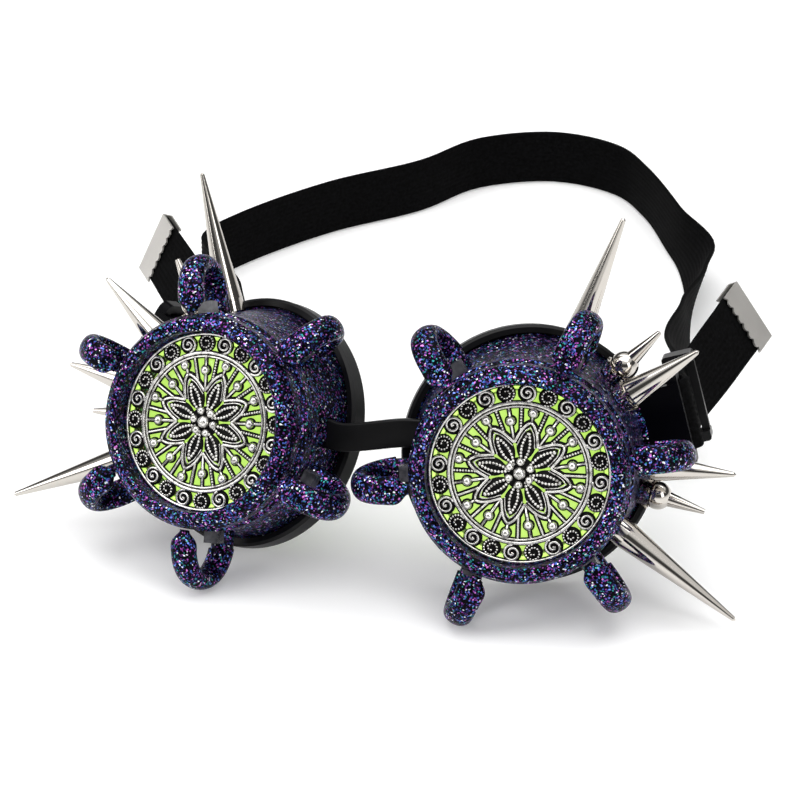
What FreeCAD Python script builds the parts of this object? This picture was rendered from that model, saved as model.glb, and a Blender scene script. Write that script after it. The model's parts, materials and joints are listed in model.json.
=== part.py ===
import FreeCAD, Part
import math
import os
from FreeCAD import Vector

# Steampunk goggles as they lie on a table: two eye cups with claw loops and spikes, screw rings that
# hold a lens and a filigree plate, a rubber nose bridge and one elastic head strap.
# Millimetres, +Z up. -Y is the front, where the lenses look, and +X is the wearer's left.
# Each cup is drawn in its own frame: x to the temple, y up, z forward, filigree front face at z = 0.

# Stance on the table
lens_spacing = 91.5
yaw_out = 9.1
left_pitch = 16.1
left_roll = 0.0
right_pitch = 23.9
right_roll = 5.0

# Eye cup
cup_radius = 30.2
cup_wall = 2.6
cup_edge = 0.6
cup_ridge = 0.4
cup_ridge_back = -8.0
cup_groove = 0.6
cup_groove_back = -10.0
cup_thread_back = -10.5
cup_thread_relief = 1.0
cup_straight_back = -12.0
rim_depth = 30.0
rim_temple_slope = 0.2
rim_top_slope = 0.1
rim_flare = 3.1
rim_wall_radius = cup_radius + rim_flare
rim_inner_radius = rim_wall_radius - cup_wall
rim_overcut = 0.5
flange_width = 1.5
flange_radius = rim_wall_radius + flange_width
flange_thickness = 2.0

# Face gasket
gasket_fit = 0.05
gasket_wall = 1.35
gasket_radius = flange_radius + gasket_fit + gasket_wall
gasket_inset = 0.7
gasket_inner_radius = rim_inner_radius - gasket_inset
gasket_lip = 1.4
gasket_lip_gap = 0.6
gasket_edge = 0.8
gasket_pad = 4.0

# Screw ring, lens and filigree plate
ring_inset = 0.2
ring_radius = cup_radius - ring_inset
ring_flange_back = -3.5
ring_seat_gap = 0.1
ring_lip_height = 6.0
ring_lip_inset = 3.3
ring_shoulder_inset = 1.2
ring_shoulder_drop = 1.4
ring_edge_drop = 3.6
ring_lip_wall = 4.85
ring_bevel = 0.8
ring_crown = 0.1
ring_groove_depth = 0.6
ring_groove_z = -2.0
ring_groove_width = 1.6
ring_groove_floor = 0.6
filigree_fit = 0.15
filigree_radius = ring_radius - ring_lip_wall - filigree_fit
filigree_thickness = 1.2
filigree_ledge = 2.2
thread_height = 1.0
thread_fit = 0.1
spigot_radius = cup_radius - cup_wall - thread_height
spigot_end = -9.4
pocket_wall = 2.0
lens_fit = 0.1
lens_radius = spigot_radius - pocket_wall - lens_fit
lens_thickness = 2.0
lens_bevel = 0.4
lens_front = -6.5
lens_lip = 0.7

# Filigree pattern, from the rim inwards
rim_band = 0.6
scroll_count = 24
scroll_phase = 7.5
scroll_band = 5.2
scroll_wire = 0.75
scroll_overlap = 0.3
inner_ring_outer = filigree_radius - scroll_band
inner_ring_width = 1.2
inner_ring_inner = inner_ring_outer - inner_ring_width
bar_count = 16
bar_width = 0.9
bar_length = 7.1
bead_count = 8
bead_radius = 1.3
outer_bead_gap = 1.7
inner_bead_gap = 4.1
petal_count = 8
petal_gap = 4.0
petal_half_width = 3.2
petal_line = 0.9
petal_tip_line = 1.35
hub_radius = 2.0
hub_bead_radius = 1.1
hub_bead_count = 6
hub_bead_phase = 7.5
left_filigree_turn = 80.0
right_filigree_turn = -8.0

# Claw loops: angles round each cup, heights above the cup's wall
left_loop_angles = (7.3, 67.3, 127.3, 187.3, 247.3, 307.3)
right_loop_angles = (10.0, 66.0, 126.0, 193.0, 257.0, 312.0)
loop_skew = 3.8
stub_radius = 3.2
stub_height = 5.8
loop_back = -15.5
loop_front = 3.0
loop_foot_height = 3.8
loop_reach_height = 14.5
loop_half_width = 3.9
loop_tip_half_width = 1.5
loop_root_thickness = 2.5
loop_bend_thickness = 2.7
loop_shoulder_thickness = 2.6
loop_front_thickness = 2.2
loop_tip_thickness = 0.9
loop_tip_gap = 0.3
loop_tip_rise = 0.4
loop_belly_share = 0.45
loop_shoulder_share = 0.72
loop_bend_share = 0.86
loop_sections = 15
glue_length = 4.0
glue_width = 4.4
glue_height = 3.75
glue_gap = 0.25

# Spikes and studs: angle round the cup and depth behind the filigree
long_spike_length = 41.0
long_spike_base = 4.0
medium_spike_length = 25.5
medium_spike_base = 3.4
medium_spike_belly = 3.9
spike_shoulder = 3.6
spike_tip = 0.7
stud_ball = 4.0
stud_foot = 2.6
stud_cone_base = 2.6
stud_length = 18.0
stud_lift = 0.2
left_upper_long_angle = 71.5
left_upper_long_z = -24.5
left_lower_long_angle = -33.0
left_lower_long_z = -18.0
left_upper_medium_angle = 37.0
left_upper_medium_z = -18.0
left_lower_medium_angle = 0.0
left_lower_medium_z = -23.0
left_upper_stud_angle = 47.5
left_upper_stud_z = -26.3
left_lower_stud_angle = -14.0
left_lower_stud_z = -28.5
right_upper_long_angle = 63.5
right_upper_long_z = -27.0
right_lower_long_angle = -34.0
right_lower_long_z = -15.5
right_upper_medium_angle = 30.5
right_upper_medium_z = -15.5
right_lower_medium_angle = 0.5
right_lower_medium_z = -22.5
right_upper_stud_angle = 53.0
right_upper_stud_z = -18.5
right_lower_stud_angle = -13.0
right_lower_stud_z = -28.5
claw_floor = 0.7
claw_height = 3.2
claw_radius = 4.7
claw_sheet = 0.6
claw_flare = 0.3
claw_petals = 5
claw_notch = 1.6
claw_notch_floor = 0.4
screw_radius = 1.2
screw_fit = 0.15
screw_bite = 4.5
screw_bore_depth = 6.0
screw_head_radius = 2.4
screw_head_height = 1.5
screw_head_gap = 0.9
seat_gap = 0.02

# Head strap, lug, slider and end clip
strap_width = 20.0
strap_thickness = 1.5
strap_fit = 0.4
lug_angle = 17.0
lug_height = 12.8
lug_radius = cup_radius + lug_height
lug_bar_z = -38.5
lug_bar = 3.0
lug_slot = 4.0
lug_front_bar = 3.5
lug_side = 2.7
lug_root_front = -29.0
lug_root_back = -33.0
lug_root_half_width = 10.0
slider_distance = 28.5
slider_travel = 6.0
slider_length = 9.0
slider_side = 2.8
slider_edge = 0.9
slider_run_out = 1.0
slider_bar = 2.8
slider_bar_depth = 2.3
layer_gap = 0.5
clip_length = 9.0
clip_sheet = 0.6
clip_teeth = 7
clip_tooth = 0.9

# The strap's way round the back on the table, from the right slider to the left one:
# x, y, height of its middle above the table, lean of its upper edge to the wearer's left in degrees
strap_route = (
    (-82.0, 122.0, 22.0, 0.0),
    (-104.0, 161.0, 13.0, 0.0),
    (-120.0, 186.0, 10.3, 0.0),
    (-115.0, 206.5, 10.3, 0.0),
    (-94.7, 245.2, 10.3, 0.0),
    (-69.9, 275.7, 10.3, 0.0),
    (-55.3, 304.8, 10.3, 0.0),
    (-29.8, 319.6, 10.3, 0.0),
    (-4.8, 313.7, 10.3, 0.0),
    (11.3, 294.9, 10.3, 0.0),
    (30.6, 260.5, 10.3, 6.0),
    (43.5, 238.5, 9.3, 30.0),
    (48.5, 212.0, 10.5, 18.0),
    (54.0, 171.0, 15.0, -8.0),
    (62.0, 130.0, 23.5, -36.0),
)
strap_step = 7.0

# The two tails beyond the sliders, to the middle of the end clip
left_tail_end = (83.0, 124.0, 45.0)
left_tail_lean = -32.0
right_tail_end = (-113.0, 128.0, 40.5)
right_tail_lean = 30.0
tail_turn_share = 0.55
tail_turn_weight = 1.5

# Nose bridge
bridge_angle = 169.0
bridge_z = -17.0
bridge_height = 8.0
bridge_thickness = 2.6
bridge_fit = 0.3
bridge_stub_height = 3.8
bridge_head_height = 12.0
bridge_head_depth = 5.6
bridge_head_thickness = 2.0
bridge_head_inset = 6.5

WORLD_UP = Vector(0, 0, 1)


def polar(radius, degrees, z=0.0):
    turn = math.radians(degrees)
    return Vector(radius * math.cos(turn), radius * math.sin(turn), z)


def revolve(profile):
    """Turn a closed (radius, z) outline about the z axis."""
    points = [Vector(radius, 0, z) for radius, z in profile]
    face = Part.Face(Part.makePolygon(points + points[:1]))
    return face.revolve(Vector(), WORLD_UP, 360)


def axes_placement(origin, x_axis, y_axis, z_axis):
    matrix = FreeCAD.Matrix(
        x_axis.x, y_axis.x, z_axis.x, origin.x,
        x_axis.y, y_axis.y, z_axis.y, origin.y,
        x_axis.z, y_axis.z, z_axis.z, origin.z,
        0, 0, 0, 1)
    return FreeCAD.Placement(matrix)


def moved(shape, placement):
    copy = shape.copy()
    copy.Placement = placement.multiply(copy.Placement)
    return copy


def block(x_range, y_range, z_range):
    size = [high - low for low, high in (x_range, y_range, z_range)]
    return Part.makeBox(*size, Vector(x_range[0], y_range[0], z_range[0]))


def biggest(shape):
    return max(shape.Solids, key=lambda solid: solid.Volume)


# Tilted rim of the cup

rim_normal = Vector(rim_temple_slope, rim_top_slope, 1).normalize()
rim_place = FreeCAD.Placement(Vector(0, 0, -rim_depth), FreeCAD.Rotation(WORLD_UP, rim_normal))


def rim_circle(radius, lift):
    return moved(Part.Wire(Part.makeCircle(radius, Vector(0, 0, lift))), rim_place)


def flat_circle(radius, z):
    return Part.Wire(Part.makeCircle(radius, Vector(0, 0, z)))


def wall_frame(degrees, z):
    """Point on the cup's outer wall, with its outward normal and its tangents."""
    edge = polar(rim_wall_radius, degrees)
    rim_z = -rim_depth - rim_temple_slope * edge.x - rim_top_slope * edge.y
    run = rim_z - cup_straight_back
    flare = rim_wall_radius - cup_radius
    behind = max(0.0, (z - cup_straight_back) / run)
    slope = flare / -run if behind > 0 else 0.0
    point = polar(cup_radius + flare * behind, degrees, z)
    outward = (polar(1, degrees) + Vector(0, 0, slope)).normalize()
    around = polar(1, degrees + 90)
    return point, around, outward


def on_wall(shape, degrees, z, lift=0.0):
    """Stand a shape drawn about +z on the cup's wall."""
    point, around, outward = wall_frame(degrees, z)
    return moved(shape, axes_placement(point + outward * lift, around, outward.cross(around), outward))


# Strap-end frame of a cup: x back along the strap, y across its width, z away from the head

lug_out = polar(1, lug_angle)
lug_across = polar(1, lug_angle + 90)
lug_place = axes_placement(polar(lug_radius, lug_angle, lug_bar_z), Vector(0, 0, -1), lug_across, lug_out)


def lug():
    slot_half = strap_width / 2 + strap_fit
    half = slot_half + lug_side
    front = -lug_bar / 2 - lug_slot - lug_front_bar
    plate = block((front, lug_bar / 2), (-half, half), (-lug_bar / 2, lug_bar / 2))
    corners = [edge for edge in plate.Edges if abs(edge.tangentAt(edge.FirstParameter).z) > 0.9]
    plate = plate.makeFillet(lug_side, corners)
    slot = block((-lug_bar / 2 - lug_slot, -lug_bar / 2), (-slot_half, slot_half), (-lug_bar, lug_bar))
    plate = moved(plate.cut(slot), lug_place)
    bar_front = lug_bar_z - front
    bar_back = bar_front - lug_front_bar
    outline = [
        (cup_radius - cup_wall / 2, lug_root_front),
        (cup_radius + cup_wall, lug_root_front),
        (lug_radius + lug_bar / 2, bar_front),
        (lug_radius + lug_bar / 2, bar_back),
        (lug_radius - lug_bar / 2, bar_back),
        (cup_radius + cup_wall, lug_root_back),
        (cup_radius - cup_wall / 2, lug_root_back),
    ]
    points = [Vector(radius, -lug_root_half_width, z) for radius, z in outline]
    face = Part.Face(Part.makePolygon(points + points[:1]))
    root = face.extrude(Vector(0, 2 * lug_root_half_width, 0))
    root.rotate(Vector(), WORLD_UP, lug_angle)
    return plate.fuse(root)


bridge_stub = cup_radius + bridge_stub_height


def bridge_centre():
    return Vector(0, cup_radius * math.sin(math.radians(bridge_angle)), bridge_z)


def bridge_end(reach_in, reach_out, height, thickness):
    """Box along x at the bridge's place on a cup."""
    middle = bridge_centre()
    return block((-reach_out, -reach_in), (middle.y - height / 2, middle.y + height / 2),
                 (middle.z - thickness / 2, middle.z + thickness / 2))


left_fasteners = (
    (left_upper_long_angle, left_upper_long_z), (left_lower_long_angle, left_lower_long_z),
    (left_upper_medium_angle, left_upper_medium_z), (left_lower_medium_angle, left_lower_medium_z),
    (left_upper_stud_angle, left_upper_stud_z), (left_lower_stud_angle, left_lower_stud_z))
right_fasteners = (
    (right_upper_long_angle, right_upper_long_z), (right_lower_long_angle, right_lower_long_z),
    (right_upper_medium_angle, right_upper_medium_z), (right_lower_medium_angle, right_lower_medium_z),
    (right_upper_stud_angle, right_upper_stud_z), (right_lower_stud_angle, right_lower_stud_z))


def eye_cup(loop_angles, fasteners):
    front_z = ring_flange_back - ring_seat_gap
    ridge = cup_radius + cup_ridge
    groove = cup_radius - cup_groove
    front = revolve([
        (0, front_z), (ridge - cup_edge, front_z), (ridge, front_z - cup_edge),
        (ridge, cup_ridge_back), (groove, cup_ridge_back - cup_edge),
        (groove, cup_groove_back + cup_edge), (cup_radius, cup_groove_back),
        (cup_radius, cup_straight_back), (0, cup_straight_back)])
    flare = Part.makeLoft([flat_circle(cup_radius, cup_straight_back), rim_circle(rim_wall_radius, 0)],
                          True, True)
    flange = moved(Part.makeCylinder(flange_radius, flange_thickness, Vector(0, 0, -flange_thickness)),
                   rim_place)
    stubs = []
    for angle in loop_angles:
        root = polar(cup_radius - cup_wall / 2, angle, loop_back)
        stubs.append(Part.makeCylinder(stub_radius, stub_height + cup_wall / 2, root, polar(1, angle)))
    shell = front.fuse([flare, flange, lug()] + stubs)
    bore_radius = spigot_radius + thread_fit
    inside = cup_radius - cup_wall
    bore = revolve([
        (0, ring_lip_height), (bore_radius, ring_lip_height), (bore_radius, cup_thread_back),
        (inside, cup_thread_back - cup_thread_relief), (inside, cup_straight_back),
        (0, cup_straight_back)])
    hollow = Part.makeLoft([flat_circle(inside, cup_straight_back),
                            rim_circle(rim_inner_radius, -flange_thickness - rim_overcut)], True, True)
    slot = bridge_end(inside / 2, cup_radius + cup_wall, bridge_height + 2 * bridge_fit,
                      bridge_thickness + 2 * bridge_fit)
    cup = shell.cut(bore.fuse(hollow)).cut(slot)
    for angle, z in fasteners:
        hole = Part.makeCylinder(screw_radius + screw_fit, 3 * cup_wall, Vector(0, 0, -2 * cup_wall))
        cup = cup.cut(on_wall(hole, angle, z))
    return biggest(cup.removeSplitter())


def face_gasket():
    fit = gasket_fit
    back = -flange_thickness - gasket_pad
    turn = -flange_thickness - gasket_pad / 2
    groove = flange_radius + fit
    lip_inner = rim_wall_radius + gasket_lip_gap
    middle = (gasket_radius + gasket_inner_radius) / 2
    corners = [(gasket_inner_radius, turn), (gasket_inner_radius, -flange_thickness - fit),
               (groove, -flange_thickness - fit), (groove, fit), (lip_inner, fit), (lip_inner, gasket_lip),
               (gasket_radius - gasket_edge, gasket_lip),
               (gasket_radius, gasket_lip - gasket_edge), (gasket_radius, turn)]
    points = [Vector(radius, 0, z) for radius, z in corners]
    pad = Part.Arc(points[-1], Vector(middle, 0, back), points[0]).toShape()
    wire = Part.Wire(Part.makePolygon(points).Edges + [pad])
    ring = Part.Face(wire).revolve(Vector(), WORLD_UP, 360)
    return moved(ring, rim_place)


def lens_ring():
    recess = filigree_radius + filigree_fit
    bore = filigree_radius - filigree_ledge
    pocket = lens_radius + lens_fit
    pocket_front = lens_front + lens_fit
    pocket_back = lens_front - lens_thickness - lens_fit
    groove = ring_radius - ring_groove_depth
    top = ring_lip_height
    wide = ring_groove_width / 2
    narrow = ring_groove_floor / 2
    return revolve([
        (bore, -filigree_thickness), (recess, -filigree_thickness),
        (recess, top - ring_bevel), (recess + ring_bevel, top - ring_crown),
        (ring_radius - ring_lip_inset, top), (ring_radius - ring_shoulder_inset, top - ring_shoulder_drop),
        (ring_radius, top - ring_edge_drop), (ring_radius, ring_groove_z + wide),
        (groove, ring_groove_z + narrow), (groove, ring_groove_z - narrow),
        (ring_radius, ring_groove_z - wide), (ring_radius, ring_flange_back),
        (spigot_radius, ring_flange_back),
        (spigot_radius, spigot_end), (pocket - lens_lip, spigot_end), (pocket - lens_lip, pocket_back),
        (pocket, pocket_back), (pocket, pocket_front), (bore, pocket_front)])


def lens():
    back = lens_front - lens_thickness
    flat = lens_radius - lens_bevel
    return revolve([
        (0, lens_front), (flat, lens_front), (lens_radius, lens_front - lens_bevel),
        (lens_radius, back + lens_bevel), (flat, back), (0, back)])


def ring_of(outer, inner, height, centre):
    tube = Part.makeCylinder(outer, height, centre)
    return tube.cut(Part.makeCylinder(inner, height, centre))


def petal(length, half_width, height):
    """Pointed leaf along +x, both sides arcs."""
    tip = Vector(length, 0, 0)
    sides = [Part.Arc(Vector(), Vector(length / 2, half_width, 0), tip).toShape(),
             Part.Arc(tip, Vector(length / 2, -half_width, 0), Vector()).toShape()]
    return Part.Face(Part.Wire(sides)).extrude(Vector(0, 0, height))


def filigree():
    height = filigree_thickness
    floor = Vector(0, 0, -height)
    band_inner = filigree_radius - rim_band
    pieces = [ring_of(filigree_radius, band_inner, height, floor),
              ring_of(inner_ring_outer, inner_ring_inner, height, floor)]
    scroll_circle = (band_inner + inner_ring_outer) / 2
    scroll_radius = (band_inner - inner_ring_outer) / 2 + scroll_overlap
    for index in range(scroll_count):
        centre = polar(scroll_circle, scroll_phase + 360.0 / scroll_count * index, -height)
        pieces.append(ring_of(scroll_radius, scroll_radius - scroll_wire, height, centre))
    bar_outer = (inner_ring_outer + inner_ring_inner) / 2
    bar_inner = inner_ring_inner - bar_length
    bar = block((bar_inner, bar_outer), (-bar_width / 2, bar_width / 2), (-height, 0))
    for index in range(bar_count):
        copy = bar.copy()
        copy.rotate(Vector(), WORLD_UP, 360.0 / bar_count * (index + 0.5))
        pieces.append(copy)
    petal_length = inner_ring_inner - petal_gap
    outline = petal(petal_length, petal_half_width, height)
    leaf = petal(petal_length - petal_line - petal_tip_line, petal_half_width - petal_line, height)
    leaf.translate(Vector(petal_line, 0, 0))
    frame = outline.cut(leaf)
    frame.translate(floor)
    for index in range(petal_count):
        copy = frame.copy()
        copy.rotate(Vector(), WORLD_UP, 360.0 / petal_count * index)
        pieces.append(copy)
    for index in range(bead_count):
        angle = 360.0 / bead_count * index
        at = polar(inner_ring_inner - outer_bead_gap, angle, -height / 2)
        pieces.append(Part.makeSphere(bead_radius, at))
        spoke = bar.copy()
        spoke.rotate(Vector(), WORLD_UP, angle)
        pieces.append(spoke)
        valley = angle + 180.0 / bead_count
        at = polar(inner_ring_inner - inner_bead_gap, valley, -height / 2)
        pieces.append(Part.makeSphere(bead_radius, at))
    hub = Part.makeCylinder(hub_radius + hub_bead_radius, height, floor)
    pieces.append(hub)
    pieces.append(Part.makeSphere(hub_radius, Vector(0, 0, -height / 2)))
    for index in range(hub_bead_count):
        turn = hub_bead_phase + 360.0 / hub_bead_count * index
        at = polar(hub_radius + hub_bead_radius, turn, -height / 2)
        pieces.append(Part.makeSphere(hub_bead_radius, at))
    plate = pieces[0].fuse(pieces[1:])
    behind = Part.makeCylinder(filigree_radius, 2 * hub_radius, Vector(0, 0, -height - 2 * hub_radius))
    return biggest(plate.cut(behind))


loop_foot = cup_radius + loop_foot_height
loop_reach = cup_radius + loop_reach_height
stub_top = cup_radius + stub_height


def loop_path(share):
    """Middle of a claw loop: 0 at its foot on the stub, 1 at its tip by the ring."""
    middle_z = (loop_back + loop_front) / 2
    half = (loop_front - loop_back) / 2
    along = min(1.0, share / loop_bend_share)
    if along < 1:
        turn = math.pi * along
        radius = loop_foot + (loop_reach - loop_foot) * math.sin(turn)
        z = middle_z - half * math.cos(turn)
    else:
        last = (share - loop_bend_share) / (1 - loop_bend_share)
        radius = loop_foot + (ring_radius + loop_tip_gap - loop_foot) * last
        z = loop_front + loop_tip_rise * last
    return polar(radius, loop_skew * along, z)


def at_share(marks, share):
    """Value between the two marks that a share of the loop's length lies between."""
    for (start, first), (end, second) in zip(marks, marks[1:]):
        if share <= end:
            return first + (second - first) * (share - start) / (end - start)
    return marks[-1][1]


loop_thickness = ((0.0, loop_root_thickness), (loop_belly_share, loop_bend_thickness),
                  (loop_shoulder_share, loop_shoulder_thickness), (loop_bend_share, loop_front_thickness),
                  (1.0, loop_tip_thickness))
loop_width = ((0.0, loop_half_width), (loop_bend_share, loop_half_width), (1.0, loop_tip_half_width))


def claw_loop():
    """Flat oval band bent from its stub over to the ring."""
    sections = []
    step = 0.01
    for index in range(loop_sections):
        share = index / (loop_sections - 1)
        middle = loop_path(share)
        forward = (loop_path(min(1.0, share + step)) - loop_path(max(0.0, share - step))).normalize()
        round_cup = polar(1, 90)
        across = (round_cup - forward * round_cup.dot(forward)).normalize()
        out = forward.cross(across)
        oval = Part.Ellipse(middle + across * at_share(loop_width, share),
                            middle + out * at_share(loop_thickness, share), middle)
        sections.append(Part.Wire(oval.toShape()))
    band = Part.makeLoft(sections, True, False)
    reach = 2 * loop_reach
    below = block((0, stub_top), (-reach, reach), (-reach, (loop_back + loop_front) / 2))
    inside = Part.makeCylinder(ring_radius + loop_tip_gap, reach, Vector(0, 0, -reach / 2))
    return biggest(band.cut([below, inside]))


def glue_block():
    back = loop_back + stub_radius
    foot = cup_radius + glue_gap
    tab = block((0, foot + glue_height), (-glue_width / 2, glue_width / 2), (back, back + glue_length))
    wall = Part.makeCylinder(foot, 3 * glue_length, Vector(0, 0, back - glue_length))
    return biggest(tab.cut(wall))


def spike(base, belly, length):
    bore = screw_radius + screw_fit
    return revolve([
        (bore, 0), (base, 0), (belly, spike_shoulder), (spike_tip, length - spike_tip), (0, length),
        (0, screw_bore_depth), (bore, screw_bore_depth)])


def ball_stud():
    centre = stud_ball + stud_lift
    ball = Part.makeSphere(stud_ball, Vector(0, 0, centre))
    foot = Part.makeCylinder(stud_foot, centre)
    cone = Part.makeCone(stud_cone_base, spike_tip, stud_length - centre, Vector(0, 0, centre))
    bore = Part.makeCylinder(screw_radius + screw_fit, screw_bore_depth)
    return biggest(ball.fuse([foot, cone]).cut(bore))


def claw_seat():
    inner = claw_radius - claw_sheet - claw_flare
    dish = revolve([
        (screw_radius + screw_fit, 0), (inner, 0), (claw_radius, claw_height),
        (claw_radius - claw_sheet, claw_height), (inner - claw_sheet / 2, claw_floor),
        (screw_radius + screw_fit, claw_floor)])
    notches = []
    for index in range(claw_petals):
        corner = Vector(0, 0, claw_floor + claw_notch_floor)
        outline = [corner, corner + Vector(0, claw_notch, claw_height),
                   corner + Vector(0, -claw_notch, claw_height)]
        face = Part.Face(Part.makePolygon(outline + outline[:1]))
        notch = face.extrude(Vector(2 * claw_radius, 0, 0))
        notch.rotate(Vector(), WORLD_UP, 360.0 / claw_petals * index)
        notches.append(notch)
    return biggest(dish.cut(notches))


def spike_screw(seat):
    """Screw from inside the cup; seat is the height of the spike's base above the wall."""
    under = -cup_wall - screw_head_gap
    head = Part.makeCylinder(screw_head_radius, screw_head_height, Vector(0, 0, under - screw_head_height))
    shank = Part.makeCylinder(screw_radius, seat + screw_bite - under, Vector(0, 0, under))
    return head.fuse(shank)


def strap_slider():
    """Drawn in the strap-end frame about the slider's middle."""
    inside = strap_width / 2 + strap_fit
    outside = inside + slider_side
    gap = layer_gap / 2 + strap_thickness + strap_fit
    half = slider_length / 2
    deep = gap + slider_bar_depth
    sides = [block((-half, half), (inside, outside), (-deep, deep)),
             block((-half, half), (-outside, -inside), (-deep, deep))]
    back = [block((-half, -half + slider_bar), (-outside, outside), (-deep, -gap)),
            block((half - slider_bar, half), (-outside, outside), (-deep, -gap))]
    front = block((-slider_bar / 2, slider_bar / 2), (-outside, outside), (gap, deep))
    body = sides[0].fuse([sides[1], front] + back).removeSplitter()
    rounded = [edge for edge in body.Edges
               if abs(edge.tangentAt(edge.FirstParameter).x) > 0.9 and abs(edge.CenterOfMass.y) > inside]
    outer = [edge for edge in rounded if abs(edge.CenterOfMass.z) > gap]
    return body.makeFillet(slider_edge, outer)


def end_clip():
    """Crimped clip: x along the strap to its cut end, y across, z through its thickness."""
    half = strap_width / 2 + strap_fit
    deep = strap_thickness / 2 + strap_fit
    outer = block((-clip_length / 2, clip_length / 2), (-half, half),
                  (-deep - clip_sheet, deep + clip_sheet))
    pocket = block((-clip_length, clip_length / 2 - clip_sheet), (-2 * half, 2 * half), (-deep, deep))
    teeth = []
    pitch = 2 * half / clip_teeth
    for index in range(clip_teeth):
        middle = -half + pitch * (index + 0.5)
        edge = -clip_length / 2
        outline = [Vector(edge, middle - pitch / 3, -2 * deep),
                   Vector(edge + clip_tooth, middle, -2 * deep),
                   Vector(edge, middle + pitch / 3, -2 * deep)]
        face = Part.Face(Part.makePolygon(outline + outline[:1]))
        teeth.append(face.extrude(Vector(0, 0, 4 * deep)))
    return biggest(outer.cut([pocket] + teeth))


# Placing a cup's frame in the room

def cup_axes(side, pitch, roll):
    """World x, y and z axes of a cup; side is +1 for the wearer's left and -1 for the right."""
    yaw = math.radians(yaw_out)
    lift = math.radians(pitch)
    facing = Vector(side * math.sin(yaw) * math.cos(lift), -math.cos(yaw) * math.cos(lift), math.sin(lift))
    across = Vector(math.cos(yaw), side * math.sin(yaw), 0)
    up = facing.cross(across)
    turn = math.radians(roll) * side
    x_axis = across * math.cos(turn) + up * math.sin(turn)
    y_axis = up * math.cos(turn) - across * math.sin(turn)
    return x_axis, y_axis, facing


class Goggle:
    """One cup with all that sits on it; its pieces are drawn for the left and mirrored for the right."""

    def __init__(self, name, side, pitch, roll, filigree_turn):
        self.name = name
        self.side = side
        self.axes = cup_axes(side, pitch, roll)
        self.filigree_turn = filigree_turn
        self.place = axes_placement(Vector(side * lens_spacing / 2, 0, 0), *self.axes)

    def put(self, shape):
        handed = shape if self.side > 0 else shape.mirror(Vector(), Vector(1, 0, 0))
        return moved(handed, self.place)

    def point(self, local):
        return self.place.multVec(Vector(self.side * local.x, local.y, local.z))

    def direction(self, local):
        return self.place.Rotation.multVec(Vector(self.side * local.x, local.y, local.z))

    def stand(self, lowest):
        self.place.Base = self.place.Base - Vector(0, 0, lowest)


def lowest_point(shapes):
    return min(shape.optimalBoundingBox().ZMin for shape in shapes)


def cup_pieces(loop_angles, fasteners):
    """Every rigid piece of one cup in the cup's own frame, apart from the filigree."""
    pieces = {"eye_cup": eye_cup(loop_angles, fasteners), "face_gasket": face_gasket(),
              "lens_ring": lens_ring(), "lens": lens()}
    loop = claw_loop()
    tab = glue_block()
    tabs = []
    for number, angle in enumerate(loop_angles, 1):
        turned = loop.copy()
        turned.rotate(Vector(), WORLD_UP, angle)
        pieces["claw_loop_%d" % number] = turned
        turned_tab = tab.copy()
        turned_tab.rotate(Vector(), WORLD_UP, angle)
        tabs.append(turned_tab)
    pieces["glue_blocks"] = Part.makeCompound(tabs)
    screws = []
    claws = []
    raised = claw_floor + 2 * seat_gap
    long_spike = spike(long_spike_base, long_spike_base, long_spike_length)
    medium_spike = spike(medium_spike_base, medium_spike_belly, medium_spike_length)
    stud = ball_stud()
    fitted = (("upper_long_spike", long_spike, seat_gap), ("lower_long_spike", long_spike, seat_gap),
              ("upper_medium_spike", medium_spike, raised), ("lower_medium_spike", medium_spike, raised),
              ("upper_ball_stud", stud, raised), ("lower_ball_stud", stud, raised))
    for (name, shape, lift), (angle, z) in zip(fitted, fasteners):
        pieces[name] = on_wall(shape, angle, z, lift)
        screws.append(on_wall(spike_screw(lift), angle, z))
        if lift == raised:
            claws.append(on_wall(claw_seat(), angle, z, seat_gap))
    pieces["claw_seats"] = Part.makeCompound(claws)
    pieces["spike_screws"] = Part.makeCompound(screws)
    middle = lug_place.multVec(Vector(slider_distance, 0, 0))
    pieces["strap_slider"] = moved(strap_slider(), FreeCAD.Placement(middle, lug_place.Rotation))
    return pieces


# Elastic strap: stations are (middle, width direction), joined by a smooth curve

def lean_up(lean):
    turn = math.radians(lean)
    return Vector(math.sin(turn), 0, math.cos(turn))


def strap_end_stations(goggle, tail_end, tail_lean):
    """From the cut end inside the clip, through the slider, round the lug's bar and back out."""
    across = goggle.direction(lug_across)
    layer = (layer_gap + strap_thickness) / 2
    fold = lug_bar * math.sqrt(0.5) + strap_fit + strap_thickness / 2
    half = slider_length / 2 + slider_travel + slider_run_out

    def at(back, out):
        return goggle.point(lug_place.multVec(Vector(back, 0, out)))

    tail = Vector(*tail_end)
    start = at(slider_distance + half, layer)
    tail_up = lean_up(tail_lean)
    turning = (across + tail_up * tail_turn_weight).normalize()
    stations = [(tail, tail_up), (start + (tail - start) * tail_turn_share, turning)]
    straight = (slider_distance - half, slider_distance, slider_distance + slider_length / 2,
                slider_distance + half)
    stations += [(at(back, layer), across) for back in straight[::-1]]
    for degrees in range(90, 271, 30):
        turn = math.radians(degrees)
        stations.append((at(fold * math.cos(turn), fold * math.sin(turn)), across))
    stations += [(at(back, -layer), across) for back in straight]
    return stations


def between(one, other, low, high, at):
    return one * ((high - at) / (high - low)) + other * ((at - low) / (high - low))


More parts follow.
